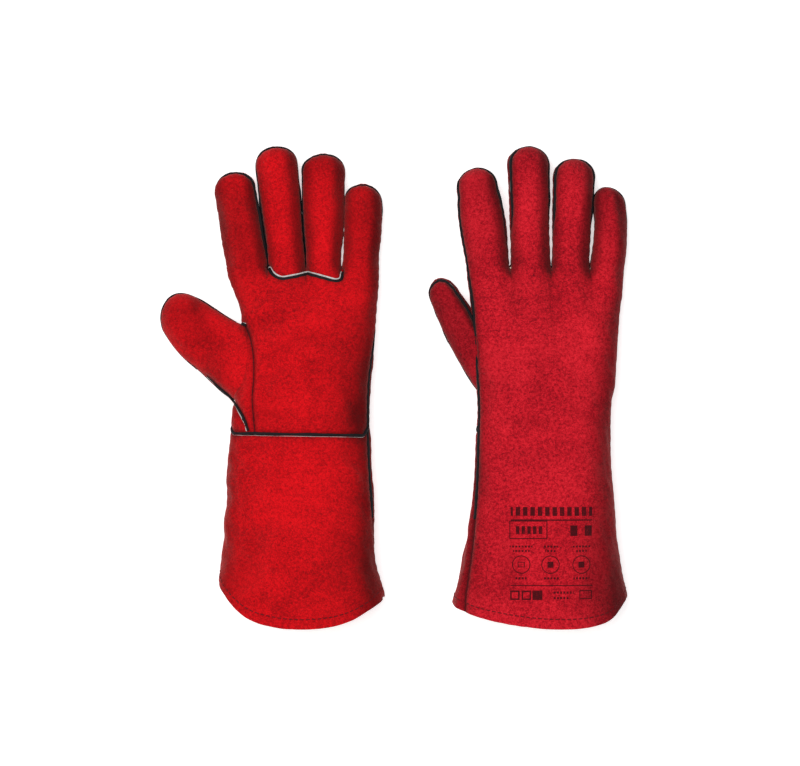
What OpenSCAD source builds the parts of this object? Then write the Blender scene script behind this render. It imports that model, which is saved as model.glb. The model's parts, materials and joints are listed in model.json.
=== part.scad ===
// Pair of lined leather welding gauntlets, laid side by side on a bench:
// the left one palm up, the right one palm down. Fingers point along +Y, +Z is up,
// and the origin is under the middle of the pair, on the bench.

/* [Glove] */
// Length of each glove, from middle fingertip to hem
glove_length = 350; // [320:5:400]
// Thickness of the split leather
leather_t = 1.6; // [1.2:0.1:2]
// Thickness of the cotton fleece lining
lining_t = 1.2; // [0.8:0.1:1.4]
// Thickness of the welt strip between two leather edges
welt_t = 1.8; // [1.2:0.2:2.4]
// How far the welt stands out of a seam
welt_proud = 1; // [0.6:0.1:1.2]

/* [Shape] */
// Thickness of a stuffed finger
finger_thick = 25; // [22:1:27]
// Thickness across the palm
palm_thick = 38; // [34:1:42]
// Thickness across the wrist
wrist_thick = 43; // [40:1:48]
// Thickness across the open cuff at the hem
hem_thick = 56; // [50:1:62]
// How far the hem curves down between its corners
hem_drop = 27; // [15:1:32]
// How deep a full round would sink into the bench, which makes the flat underside
sink = 1.5; // [1:0.25:2]

/* [Movement] */
// Furthest curl of a finger, in degrees
finger_flex = 70; // [40:5:75]
// Furthest curl of a thumb, in degrees
thumb_flex = 45; // [30:5:50]
// Bend of the wrist each way, in degrees
wrist_flex = 20; // [10:5:25]

/* [Hidden] */
LEFT = 0;
RIGHT = 1;
SIDE = ["left", "right"];
FINGER = ["index", "middle", "ring", "little"];
HAND_PIECES = ["palm_panel", "back_panel", "finger_insert", "thumb_base", "hand_welt", "hand_lining"];
FINGER_PIECES = ["front", "back", "welt", "lining"];
CUFF_PIECES = ["front", "back", "welt", "lining"];
NODES = [
    for (side = SIDE) each concat(
        [for (p = HAND_PIECES) str(side, "_", p)],
        [for (f = concat(FINGER, ["thumb"]), p = FINGER_PIECES) str(side, "_", f, "_", p)],
        [for (p = CUFF_PIECES) str(side, "_cuff_", p)]
    )
];

// The length that the places below are drawn for.
drawn_length = 350;
size = glove_length / drawn_length;
// The sheet of each glove that lies uppermost: 1 is the palm side, -1 the back.
palm_up = [1, -1];
UPPER = 1;
LOWER = -1;

// Knuckle line: x of its five seam edges, from the index finger's side to the little finger's.
crotch_y = 88;
edge_x = [[-122, -90, -63, -36.5, -11], [53, 86, 116, 145, 168]];
// Lean of each finger towards the thumb, in degrees, its length, and where it bends.
tilt = [[9.5, 6.5, 2.2, -2.8], [7.5, 1.8, 0, -4]];
finger_len = [[69, 87, 82, 60], [72, 87, 79, 57]];
hinge_s = [24, 30, 28, 20];
// Half widths of each finger at its base, 25 mm up and 50 mm up.
finger_half_w = [
    [[15.6, 15.5, 15.5], [13.2, 13.8, 14], [12.9, 13.6, 14], [12.2, 12.4, 13.2]],
    [[16.2, 16.2, 15.4], [14.7, 14.4, 14.2], [14.2, 14.1, 14], [11.2, 11.5, 11.9]]
];
tip_round = 14;

// Hand and cuff: [y, left edge, right edge].
wrist_y = -32;
outline = [
    [[-175, -130, -5], [-140, -128, -9], [-90, -122, -14], [-32, -119, -17], [5, -113, -17],
     [44, -108, -14], [88, -122, -11]],
    [[-175, 43, 171], [-140, 47, 168], [-90, 56, 161], [-32, 60, 158], [5, 60, 160],
     [44, 58.5, 164], [67, 57.5, 166], [88, 54, 168]]
];
// The hem's height at its left and right corners.
hem_corner = [[-142, -152], [-154, -150]];
hem_low = [-175, -175];
// Below 1, the hem runs down faster near its corners. The drop is the one that its heights are drawn for.
hem_power = 0.9;
drawn_drop = 27;

// Thumb: middle of its base, lean, length from there, bend, and its half widths up its length.
thumb_at = [[-114, 17], [61, 22]];
thumb_lean = [50, 26];
thumb_len = [70, 63];
thumb_hinge = [34, 35];
thumb_half_w = [
    [[-20, 30], [0, 28.5], [18, 23.5], [40, 20.5], [54, 17.5]],
    [[-20, 20], [0, 14], [20, 12], [35, 11], [49, 11.3]]
];
thumb_half = 14;
thumb_inside = 24;

fingers = 4;
finger_half = finger_thick / 2;
// Over what length from its base a finger takes up its lean.
lean_start = 10;
// Spacing of the finger widths above, and the turns at which rows cross a round tip.
width_step = 25;
tip_turns = [32, 56, 76, 87];
// The row between a bend and a round tip: its least distance from the bend, and where it lies
// from there to the tip.
finger_row = [10, 0.5];
// The same for a thumb, and how far its last straight row is moved out.
thumb_row = [6, 0.7, 1];
// Where a thumb's base is narrowest, and how far short of its bend its hole in the hand ends.
thumb_waist = 18;
thumb_hole_end = 4;
// Where the row between a finger's base and its bend lies.
stub_s = 7;
seam_gap = welt_t / 2;
lining_gap = 0.3;
clear = 0.25;
// Below 1, an oval is boxier than an ellipse.
oval_power = 0.8;
// How far below the knuckle line the four finger lobes have become one oval.
merge_length = 34;
// The insert's seam: its distance from the knuckle line beside a finger, and how far it dips under one.
insert_end = 2.8;
insert_dip = 7;
insert_power = 0.7;
cols = 5;
fit_gap = 0.2;
// A surface under a valley between two fingers is set further in than its inset, by this factor.
crotch_drop = 1.3;
welt_strip_t = welt_t - 0.1;
crotch_proud = 0.2;
crotch_end = 0.4;
// The insert's welt narrows towards the valleys: its slack at its end columns, next to them, and elsewhere.
// Its ends stand back from the valleys by the trim, and it lies this far nearer to the insert than to the palm.
welt_slack = [4.2 * fit_gap, 3.8 * fit_gap, 2 * fit_gap];
welt_trim = 2.4;
welt_lift = 0.1;
finger_wedge = finger_flex / 2 + 0.5;
thumb_wedge = thumb_flex / 2 + 0.5;
wrist_wedge = wrist_flex / 2 + 0.5;
// A welt's end is square, so it stands back further from a bend.
welt_back = 1 + welt_strip_t / 2 * tan(finger_wedge) / clear;

red_leather = "#b51f1d";
black_welt = "#26242a";
cream_fleece = "#d8cdb8";

function mix(a, b, t) = a + (b - a) * t;
function ease(t) = 1 - pow(1 - min(1, max(0, t)), 2);
function curve(path, i) = [for (p = path) [p[0], p[i]]];

// ---- Surfaces. Every one is drawn by its inset from the outer skin, on its upper or lower half. ----

// A point at height above or below the middle plane, kept off the bench.
function lifted(x, y, mid, up, rise, inset) = [x, y, up > 0 ? mid + rise : max(inset, mid - rise)];

// Finger f of glove g: s up the finger, psi round its tip, phi across it from 180 at its left.
function finger_pt(g, up, f, s, psi, phi, inset, edge, slant = 0) =
    let (
        round_a = (lookup(s, [for (i = [0:2]) [i * width_step, finger_half_w[g][f][i]]]) - inset) * cos(psi),
        rise = max(edge, (finger_half - inset) * cos(psi) * sin(phi)),
        wedge = up == palm_up[g] ? tan(finger_wedge) : 0,
        at = s + (tip_round - inset) * sin(psi) + slant * (clear + rise * wedge),
        lean = tilt[g][f],
        turn = lean * min(1, at / lean_start),
        base_x = (edge_x[g][f] + edge_x[g][f + 1]) / 2
    )
    lifted(
        base_x - at * sin(lean) + round_a * cos(phi) * cos(turn),
        crotch_y + at * cos(lean) + round_a * cos(phi) * sin(turn),
        finger_half - sink, up, rise, inset
    );

function trunk_half(y) = lookup(y, [
    [hem_low[0], hem_thick / 2], [wrist_y, wrist_thick / 2], [30, palm_thick / 2], [crotch_y, finger_half]
]);

// A point of the oval hand or cuff at height y, column c of n, across from the left edge.
function trunk_x(g, y, phi, inset) =
    let (left = lookup(y, curve(outline[g], 1)), right = lookup(y, curve(outline[g], 2)))
    (left + right) / 2 + ((right - left) / 2 - inset) * cos(phi);
function trunk_rise(y, phi, inset) = (trunk_half(y) - inset) * pow(sin(phi), oval_power);

// Rows of the hand below the knuckle line: two that follow the insert's scalloped seam, then even ones.
hand_rows = [0.28, 0.52, 0.76, 1];
function scallop(j, n) = insert_end + insert_dip * pow(sin(180 * j / n), insert_power);
function hand_y(r, j, n) =
    r == 0 ? crotch_y :
    r <= 2 ? crotch_y - scallop(j, n) - (r - 1) * welt_t :
    mix(crotch_y, wrist_y, hand_rows[r - 3]);

// A point of the hand: four lobes at the knuckle line that merge into one oval.
function hand_pt(g, up, r, f, j, n, inset, edge) =
    let (
        phi = 180 * (1 - j / n),
        phi_all = 180 * (1 - (f * n + j) / (fingers * n)),
        inner_crotch = (j == 0 && f > 0) || (j == n && f < 3),
        y = hand_y(r, j, n),
        merge = ease((crotch_y - y) / merge_length),
        half = (edge_x[g][f + 1] - edge_x[g][f]) / 2,
        lobe_x = edge_x[g][f] + half + (half - (inner_crotch ? 0 : inset)) * cos(phi),
        lobe_rise = (finger_half - inset) * sin(phi),
        last = r == len(hand_rows) + 2,
        back_off = inner_crotch ? inset * (1 - merge) : 0,
        rise = max(edge, mix(lobe_rise, trunk_rise(y, phi_all, inset), merge) - crotch_drop * back_off)
    )
    lifted(
        mix(lobe_x, trunk_x(g, y, phi_all, inset), merge),
        y - max(0, back_off) + (last ? clear + rise * tan(wrist_wedge) : 0),
        trunk_half(y) - sink, up, rise, inset
    );

// Two rows of each finger's stub, from its bend down, then the hand's rows.
stub_rows = 2;
function body_pt(g, up, r, f, j, n, inset, edge) =
    let (phi = 180 * (1 - j / n))
    r == 0 ? finger_pt(g, up, f, hinge_s[f], 0, phi, inset, edge, -1) :
    r == 1 ? finger_pt(g, up, f, stub_s, 0, phi, inset, edge) :
    hand_pt(g, up, r - stub_rows, f, j, n, inset, edge);
body_rows = stub_rows + 3 + len(hand_rows);

cuff_rows = [0, 0.02, 0.2, 0.45, 0.72, 1];
function cuff_pt(g, up, r, f, j, n, inset, edge) =
    let (
        phi = 180 * (1 - (f * n + j) / (fingers * n)),
        corner = mix(hem_corner[g][1], hem_corner[g][0], (1 - cos(phi)) / 2),
        hem = mix(corner, min(corner, hem_low[g]), pow(sin(phi), hem_power) * hem_drop / drawn_drop),
        y = mix(wrist_y, hem, cuff_rows[r]),
        rise = max(edge, trunk_rise(y, phi, inset)),
        drop = (1 - cuff_rows[r]) * (clear + rise * tan(wrist_wedge))
    )
    lifted(trunk_x(g, y, phi, inset), y - drop, trunk_half(y) - sink, up, rise, inset);

// Rows of a finger beyond its bend: [s, psi, slant].
function tip_rows(g, f, slant = 1) =
    let (dome = finger_len[g][f] - tip_round)
    [[hinge_s[f], 0, slant], [mix(hinge_s[f] + finger_row[0], dome, finger_row[1]), 0, 0], [dome, 0, 0],
     for (psi = tip_turns) [dome, psi, 0]];
function tip_pt(g, up, r, f, j, n, inset, edge, slant = 1) =
    let (row = tip_rows(g, f, slant)[r])
    finger_pt(g, up, f, row[0], row[1], 180 * (1 - j / n), inset, edge, row[2]);

// Thumb of glove g, in the same terms as a finger.
function thumb_pt(g, up, s, psi, phi, inset, edge, slant = 0) =
    let (
        lean = thumb_lean[g],
        a = (lookup(s, thumb_half_w[g]) - inset) * cos(psi),
        rise = max(edge, (thumb_half - inset) * cos(psi) * sin(phi)),
        wedge = up == palm_up[g] ? tan(thumb_wedge) : 0,
        at = s + (tip_round - inset) * sin(psi) + slant * (clear + rise * wedge)
    )
    lifted(
        thumb_at[g][0] - at * sin(lean) + a * cos(phi) * cos(lean),
        thumb_at[g][1] + at * cos(lean) + a * cos(phi) * sin(lean),
        thumb_half - sink, up, rise, inset
    );
function thumb_rows(g, slant = 1) =
    let (dome = thumb_len[g] - tip_round)
    [[thumb_hinge[g], 0, slant], [mix(thumb_hinge[g] + thumb_row[0], dome, thumb_row[1]), 0, 0],
     [dome + thumb_row[2], 0, 0],
     for (psi = tip_turns) [dome, psi, 0]];
function thumb_tip_pt(g, up, r, j, n, inset, edge, slant = 1) =
    let (row = thumb_rows(g, slant)[r])
    thumb_pt(g, up, row[0], row[1], 180 * (1 - j / n), inset, edge, row[2]);

// ---- Solids ----

// A sheet of leather or lining between two surfaces. It has four blocks of n columns side by side.
// Above row joined the blocks are apart, and from that row on they share their edges.
// keep(r, f) says which cells the piece is cut from.
module sheet(pt, rows, blocks, n, joined, keep) {
    wide = blocks * (n + 1);
    function shared(r, f, j) = r >= joined && j == n && f < blocks - 1;
    function id(r, f, j) = shared(r, f, j) ? id(r, f + 1, 0) : r * wide + f * (n + 1) + j;
    function kept(r, f) = r >= 0 && r < rows - 1 && f >= 0 && f < blocks && keep(r, f);
    function meets(r, f, df) = r >= joined && kept(r, f + df);
    layer = rows * wide;
    points = [for (k = [0, 1], r = [0:rows - 1], f = [0:blocks - 1], j = [0:n]) pt(r, f, j, k)];
    quads = [
        for (r = [0:rows - 2], f = [0:blocks - 1]) if (kept(r, f))
            for (j = [0:n - 1])
                let (a = id(r, f, j), b = id(r, f, j + 1), c = id(r + 1, f, j + 1), d = id(r + 1, f, j))
                each concat(
                    [[a, b, c, d], [c + layer, b + layer, a + layer, d + layer]],
                    kept(r - 1, f) ? [] : [[b, a, a + layer, b + layer]],
                    kept(r + 1, f) ? [] : [[d, c, c + layer, d + layer]],
                    j > 0 || meets(r, f, -1) ? [] : [[a, d, d + layer, a + layer]],
                    j < n - 1 || meets(r, f, 1) ? [] : [[c, b, b + layer, c + layer]]
                )
    ];
    polyhedron(points, [for (q = quads) each [[q[0], q[1], q[2]], [q[0], q[2], q[3]]]]);
}

// The same, for a skin of the given thickness at an inset from the outer surface.
// On the lower half the columns run the other way, so that the outer face is always the first one.
module skin(up, shape, rows, blocks, n, joined, inset, thick, edge, keep) {
    function block(f) = up > 0 ? f : blocks - 1 - f;
    function column(j) = up > 0 ? j : n - j;
    sheet(
        function (r, f, j, k) shape(r, block(f), column(j), n, inset + k * thick, edge),
        rows, blocks, n, joined,
        function (r, f) keep(r, block(f))
    );
}

// A closed loft through rings of points, flat at both ends.
module loft(rings) {
    n = len(rings[0]);
    last = len(rings) - 1;
    sides = [
        for (r = [0:last - 1], i = [0:n - 1])
            let (a = r * n + i, b = r * n + (i + 1) % n, c = b + n, d = a + n)
            each [[a, d, c], [a, c, b]]
    ];
    bottom = [for (i = [1:n - 2]) [0, i, i + 1]];
    top = [for (i = [1:n - 2]) [last * n, last * n + i + 1, last * n + i]];
    polyhedron([for (ring = rings) each ring], concat(sides, bottom, top));
}

// A strip of constant thickness along a seam, from the inner path to the outer path.
module strip(inner, outer, thick) {
    n = len(inner);
    rings = [for (i = [0:n - 1]) [
        inner[i] - [0, 0, thick / 2], outer[i] - [0, 0, thick / 2],
        outer[i] + [0, 0, thick / 2], inner[i] + [0, 0, thick / 2]
    ]];
    loft(rings);
}

function ring(n, pt) = concat(
    [for (i = [0:n]) pt(UPPER, 180 * (1 - i / n))],
    [for (i = [1:n - 1]) pt(LOWER, 180 * i / n)]
);

// The whole inside of a thumb, or its outside, as one solid from inside the hand to its bend.
module thumb_core(g, inset, far, slant, extra = 0) {
    n = 8;
    stations = [[-thumb_inside - extra, 0], [0, 0], [thumb_waist, 0], [far, slant]];
    loft([for (s = stations) ring(n, function (up, phi) thumb_pt(g, up, s[0], 0, phi, inset, 0, s[1]))]);
}

// The outside of the hand as one solid, from the knuckle line to the wrist.
module hand_core(g, inset) {
    n = cols;
    function row(up, r, back) = [
        for (i = back ? [4 * n - 1:-1:1] : [0:4 * n])
            hand_pt(g, up, r, min(3, floor(i / n)), i - n * min(3, floor(i / n)), n, inset, 0)
    ];
    loft([for (r = [len(hand_rows) + 2:-1:3]) concat(row(UPPER, r, false), row(LOWER, r, true))]);
}

module cut_thumb_hole(g) {
    difference() {
        children();
        thumb_core(g, -fit_gap, thumb_hinge[g] - thumb_hole_end, 0, fit_gap);
    }
}

// ---- Pieces of one glove ----

module body_skin(g, up, keep, inset = 0, thick = leather_t, edge = seam_gap, n = cols) {
    skin(up, function (r, f, j, n, i, e) body_pt(g, up, r, f, j, n, i, e),
         body_rows, 4, n, stub_rows, inset, thick, edge, keep);
}

welt_row = stub_rows + 1;
function is_middle(f) = f == 1 || f == 2;

module palm_panel(g) {
    cut_thumb_hole(g)
        body_skin(g, palm_up[g], function (r, f) !is_middle(f) || r > welt_row);
}

module back_panel(g) {
    cut_thumb_hole(g)
        body_skin(g, -palm_up[g], function (r, f) true);
}

module finger_insert(g) {
    body_skin(g, palm_up[g], function (r, f) is_middle(f) && r < welt_row);
}

// The open part of the thumb that is sewn into the palm, up to the thumb's bend.
module thumb_base(g) {
    difference() {
        thumb_core(g, 0, thumb_hinge[g], -1);
        thumb_core(g, leather_t, thumb_hinge[g] + 0.2, -1, 1);
        hand_core(g, -fit_gap);
    }
}

// Seam paths in the middle plane.
function side_path(g, f, j, inset) = [
    for (r = [body_rows - 1:-1:stub_rows]) body_pt(g, UPPER, r, f, j, cols, inset, 0),
    finger_pt(g, UPPER, f, stub_s, 0, j == 0 ? 180 : 0, inset, 0),
    finger_pt(g, UPPER, f, hinge_s[f], 0, j == 0 ? 180 : 0, inset, 0, -welt_back)
];
function crotch_path(g, f, inset) = [
    finger_pt(g, UPPER, f, hinge_s[f], 0, 0, inset, 0, -welt_back),
    finger_pt(g, UPPER, f, stub_s, 0, 0, inset, 0),
    [edge_x[g][f + 1], crotch_y - inset - crotch_end, finger_half - sink],
    finger_pt(g, UPPER, f + 1, stub_s, 0, 180, inset, 0),
    finger_pt(g, UPPER, f + 1, hinge_s[f + 1], 0, 180, inset, 0, -welt_back)
];

module hand_welt(g) {
    difference() {
        skin(palm_up[g],
             function (r, f, j, n, i, e)
                 let (slack = welt_slack[min(2, j, n - j)])
                 body_pt(g, palm_up[g], r, f, j, n, i, e) + [0, welt_lift + (r == welt_row ? -slack : slack), 0],
             body_rows, 4, cols, stub_rows, -welt_proud, leather_t + welt_proud, seam_gap,
             function (r, f) is_middle(f) && r == welt_row);
        for (end = [[1, 0], [2, cols]])
            let (at = body_pt(g, palm_up[g], welt_row, end[0], end[1], cols, 0, 0))
            translate([at[0] - welt_trim, at[1] - hem_thick / 2, 0]) cube([2 * welt_trim, hem_thick, hem_thick]);
    }
    cut_thumb_hole(g)
        strip(side_path(g, 0, 0, leather_t - fit_gap), side_path(g, 0, 0, -welt_proud), welt_strip_t);
    strip(side_path(g, 3, cols, -welt_proud), side_path(g, 3, cols, leather_t), welt_strip_t);
    for (f = [0:2])
        strip(crotch_path(g, f, leather_t), crotch_path(g, f, -crotch_proud), welt_strip_t);
}

lining_in = leather_t + lining_gap;
module hand_lining(g) {
    for (up = [UPPER, LOWER])
        cut_thumb_hole(g)
            body_skin(g, up, function (r, f) true, lining_in, lining_t, 0.1);
    difference() {
        thumb_core(g, lining_in, thumb_hinge[g], -1);
        thumb_core(g, lining_in + lining_t, thumb_hinge[g] + 0.2, -1, 1);
        hand_core(g, -fit_gap);
    }
}

module finger_skin(g, f, up, inset = 0, thick = leather_t, edge = seam_gap, n = cols) {
    rows = len(tip_rows(g, f));
    skin(up, function (r, b, j, n, i, e) tip_pt(g, up, rows - 1 - r, f, j, n, i, e),
         rows, 1, n, 0, inset, thick, edge, function (r, b) true);
}

// Round a finger or thumb in its middle plane, from the left of its bend to the right.
function loop(rows, pt, inset) = concat(
    [for (r = [0:len(rows) - 1]) pt(r, 0, inset)],
    [for (r = [len(rows) - 1:-1:0]) pt(r, 1, inset)]
);
function finger_loop(g, f, proud) = loop(
    tip_rows(g, f),
    function (r, j, i) tip_pt(g, UPPER, r, f, j, 1, i < 0 && r < 2 ? -crotch_proud : i, 0, welt_back),
    proud
);

module finger_welt(g, f) {
    strip(finger_loop(g, f, leather_t), finger_loop(g, f, -welt_proud), welt_strip_t);
}

module thumb_skin(g, up, inset = 0, thick = leather_t, edge = seam_gap, n = cols) {
    rows = len(thumb_rows(g));
    skin(up, function (r, b, j, n, i, e) thumb_tip_pt(g, up, rows - 1 - r, j, n, i, e),
         rows, 1, n, 0, inset, thick, edge, function (r, b) true);
}

module thumb_welt(g) {
    path = function (inset) loop(
        thumb_rows(g), function (r, j, i) thumb_tip_pt(g, UPPER, r, j, 1, i, 0, welt_back), inset
    );
    strip(path(leather_t), path(-welt_proud), welt_strip_t);
}

module cuff_skin(g, up, keep, inset = 0, thick = leather_t, edge = seam_gap, n = cols) {
    skin(up, function (r, f, j, n, i, e) cuff_pt(g, up, r, f, j, n, i, e),
         len(cuff_rows), 4, n, 0, inset, thick, edge, keep);
}

function cuff_edge(g, f, j, inset) = [
    for (r = [0:len(cuff_rows) - 1]) cuff_pt(g, UPPER, r, f, j, cols, inset, 0)
];

module cuff_welt(g) {
    cuff_skin(g, palm_up[g], function (r, f) r == 0, -welt_proud, leather_t + welt_proud);
    strip(cuff_edge(g, 0, 0, -welt_proud), cuff_edge(g, 0, 0, leather_t), welt_strip_t);
    strip(cuff_edge(g, 3, cols, leather_t), cuff_edge(g, 3, cols, -welt_proud), welt_strip_t);
}

module lining_halves() {
    for (up = [UPPER, LOWER]) {
        $up = up;
        children();
    }
}

// ---- One named piece ----

module piece(g, name) {
    function is(end) = name == str(SIDE[g], "_", end);
    if (is("palm_panel")) color(red_leather) palm_panel(g);
    if (is("back_panel")) color(red_leather) back_panel(g);
    if (is("finger_insert")) color(red_leather) finger_insert(g);
    if (is("thumb_base")) color(red_leather) thumb_base(g);
    if (is("hand_welt")) color(black_welt) hand_welt(g);
    if (is("hand_lining")) color(cream_fleece) hand_lining(g);
    for (f = [0:3]) {
        if (is(str(FINGER[f], "_front"))) color(red_leather) finger_skin(g, f, palm_up[g]);
        if (is(str(FINGER[f], "_back"))) color(red_leather) finger_skin(g, f, -palm_up[g]);
        if (is(str(FINGER[f], "_welt"))) color(black_welt) finger_welt(g, f);
        if (is(str(FINGER[f], "_lining"))) color(cream_fleece)
            lining_halves() finger_skin(g, f, $up, lining_in, lining_t, 0.1);
    }
    if (is("thumb_front")) color(red_leather) thumb_skin(g, palm_up[g]);
    if (is("thumb_back")) color(red_leather) thumb_skin(g, -palm_up[g]);
    if (is("thumb_welt")) color(black_welt) thumb_welt(g);
    if (is("thumb_lining")) color(cream_fleece)
        lining_halves() thumb_skin(g, $up, lining_in, lining_t, 0.1);
    if (is("cuff_front")) color(red_leather) cuff_skin(g, palm_up[g], function (r, f) r > 0);
    if (is("cuff_back")) color(red_leather) cuff_skin(g, -palm_up[g], function (r, f) true);
    if (is("cuff_welt")) color(black_welt) cuff_welt(g);
    if (is("cuff_lining")) color(cream_fleece)
        lining_halves() cuff_skin(g, $up, function (r, f) true, lining_in, lining_t, 0.1);
}

scale(size)
    for (name = NODES)
        for (g = [LEFT, RIGHT]) piece(g, name);
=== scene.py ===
import json
import math

import bpy
import numpy as np
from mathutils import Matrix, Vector, kdtree
from mathutils.bvhtree import BVHTree

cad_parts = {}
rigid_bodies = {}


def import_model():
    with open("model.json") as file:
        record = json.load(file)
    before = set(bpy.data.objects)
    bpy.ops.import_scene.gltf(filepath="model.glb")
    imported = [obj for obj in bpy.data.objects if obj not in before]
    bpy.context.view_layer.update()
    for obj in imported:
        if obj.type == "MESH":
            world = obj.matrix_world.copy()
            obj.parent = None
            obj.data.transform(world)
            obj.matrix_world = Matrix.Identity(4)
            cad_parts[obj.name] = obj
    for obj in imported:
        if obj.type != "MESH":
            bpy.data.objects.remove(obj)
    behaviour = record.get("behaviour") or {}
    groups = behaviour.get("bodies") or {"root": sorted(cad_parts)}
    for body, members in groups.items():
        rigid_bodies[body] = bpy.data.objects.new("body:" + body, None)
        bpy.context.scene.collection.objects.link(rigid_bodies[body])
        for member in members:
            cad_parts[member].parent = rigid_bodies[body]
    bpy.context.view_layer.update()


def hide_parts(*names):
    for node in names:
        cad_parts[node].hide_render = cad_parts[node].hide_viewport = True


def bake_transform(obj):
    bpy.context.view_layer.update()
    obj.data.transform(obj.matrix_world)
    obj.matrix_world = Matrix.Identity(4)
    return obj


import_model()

# Lengths in this script are in millimetres and become metres when a mesh is made.
MM = 0.001
SIDES = ("left", "right")
FINGERS = ("index", "middle", "ring", "little")
FACES = ("front", "back")
UPPER, LOWER = 1, -1
# The sheet of each glove that is the palm side.
PALM = (UPPER, LOWER)

LEATHER_T = 1.6
LINING_T = 1.2
# How far the lining's outer face lies under the leather's.
LINING_IN = 2.0
# How far a bead under the glove may stand below the leather.
UNDER = 0.3
# How far the ovals of a glove that lies on the table are pushed into it, where they stay flat.
SINK = 1.5

# The grid: columns of one sheet of a finger, spacing of rows along it, rows of the insert and of the hand.
COLS = 22
STEP = 1.8
INSERT_ROWS = 6
HAND_ROWS = 62
# Turns of the rows round the end of a finger or thumb, in degrees.
TIP_TURNS = (8, 16, 24, 32, 40, 48, 56, 64, 71, 77, 82, 86, 88.5)

# ---- Measures of the pair ----

CROTCH_Y = 88.0
WRIST_Y = -32.0
FINGER_HALF = 12.5
TIP_ROUND = 13.0
EDGE_X = ((-119.8, -89.5, -62, -36, -8.8), (55.4, 87, 117, 145, 169.8))
# Lean of the fingers to the left, in degrees, reached at this distance from the knuckle line.
TILT = ((9.0, 6.0, 0.3, -1.8), (7.85, 1.2, -2.2, 0))
LEAN_START = 10
# How far the middle of a finger bows to the right.
BOW = ((0, 0, 0, 1.2), (0, 0, 0, 2.6))
FINGER_LEN = ((69.5, 87.8, 82, 60), (72, 87.4, 78.4, 57.6))
# Fingers get flatter by this share, between these distances from the knuckle line.
FINGER_FLATTER = 0.05
FLATTER_S = (10, 60)
# Finger half widths at these distances from the knuckle line, where a finger is as wide as its lobe.
WIDTH_S = (0, 8, 25, 40, 55)
FINGER_W = (
    ((15.3, 15.6, 15.4, 15.0), (13.6, 14.2, 14.7, 15.2), (12.9, 14.4, 15.2, 15.6), (13.2, 13.6, 13.8, 13.4)),
    ((16.0, 16.8, 16.8, 14.9), (14.6, 14.5, 14.7, 15.2), (13.8, 14.3, 14.8, 15.2), (12.2, 12.0, 12.0, 11.8)),
)
# Elevation of each finger's seams over its middle plane, in degrees: at its left, its right and its tip.
FINGER_SEAM = (
    ((-16, 16, 14), (2, -8, 13), (2, -12, 13), (-14, 2, 14)),
    ((12, 14, 2), (26, 8, 4), (22, 10, 2), (-10, -6, -2)),
)
# Where the seams leave the middle plane, and where they reach those elevations.
SEAM_RISE = ((0, 20), (16, 44))
# Hand and cuff: y, left edge, right edge.
OUTLINE = (
    ((-175, -127.5, -4), (-150, -126, -5.2), (-138, -124.4, -8.5), (-125, -122.6, -11.7),
     (-90, -119.6, -12.7), (-55, -118.6, -14.5),
     (-32, -116.2, -15.7), (5, -112.5, -15), (24, -110, -12.8), (44, -107.6, -11.4),
     (70, -112.8, -9.6), (88, -119.8, -8.8)),
    ((-175, 43, 171.5), (-150, 44.6, 171), (-138, 48, 167.9), (-116, 54, 164.4), (-90, 58.3, 162.3),
     (-64, 60.6, 160.4), (-46, 61.8, 159.6), (-11, 63, 160.2), (15, 61.5, 163), (44, 59.5, 165.5),
     (70, 57.8, 168.4), (88, 55.4, 169.8)),
)
# Half height of hand and cuff, and the power that makes their ovals fuller.
TRUNK_HALF = ((-175, 28), (-90, 24.5), (-32, 21), (30, 19.5), (60, 16.5), (88, 12.5))
OVAL_POWER = 0.8
# Below the knuckle line: where the four lobes have become one oval, and where columns spread out evenly.
LOBE_END = 36
SPREAD_S = (4, 100)
# How round the valleys between the lobes become.
LOBE_ROUND = 1.6
# Columns to each side over which the direction that the leather is pushed in is averaged.
PUSH_COLS = 4
# Elevation of the side seams: y, left, right.
SIDE_SEAM = (
    ((-175, -10, -10), (-130, -10, -4), (-95, -10, 8), (-20, -10, 9), (30, -10, 5), (50, -10, -6),
     (88, -10, -8)),
    ((-175, 33, -10), (-150, 31, -10), (-96, 19, -10), (-60, 15, -10), (-20, 10, -10), (42, 10, -10),
     (88, 10, -10)),
)
# The hem's height across the cuff, from its left corner at 0 to its right one at 1.
HEM = (
    ((0, -140), (0.15, -152), (0.22, -160), (0.29, -167), (0.395, -172.6), (0.53, -174.6), (0.64, -172.2),
     (0.72, -168), (0.83, -160), (0.95, -153), (1, -152)),
    ((0, -155.5), (0.128, -160), (0.31, -168), (0.46, -173), (0.58, -174.6), (0.7, -173), (0.8, -168),
     (0.87, -160.5), (0.95, -153.5), (1, -152)),
)
HEM_LOW = -175.0
# How far the insert's seam lies below the knuckle line, from its left end at 0 to its right one at 2.
INSERT_DROP = (
    (0, 1.2), (0.12, 1.4), (0.25, 5.6), (0.38, 8.2), (0.6, 7.3), (0.8, 5.6), (1.1, 4.5), (1.3, 6), (1.5, 8.2),
    (1.72, 10), (1.88, 8), (2, 3.6),
)

# The thumbs: where their lines start, their lean to the left in degrees, length and distance of the bend.
THUMB_AT = ((-114, 17), (61, 22))
THUMB_LEAN = (50, 26)
THUMB_LEN = (67.7, 63)
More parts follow.
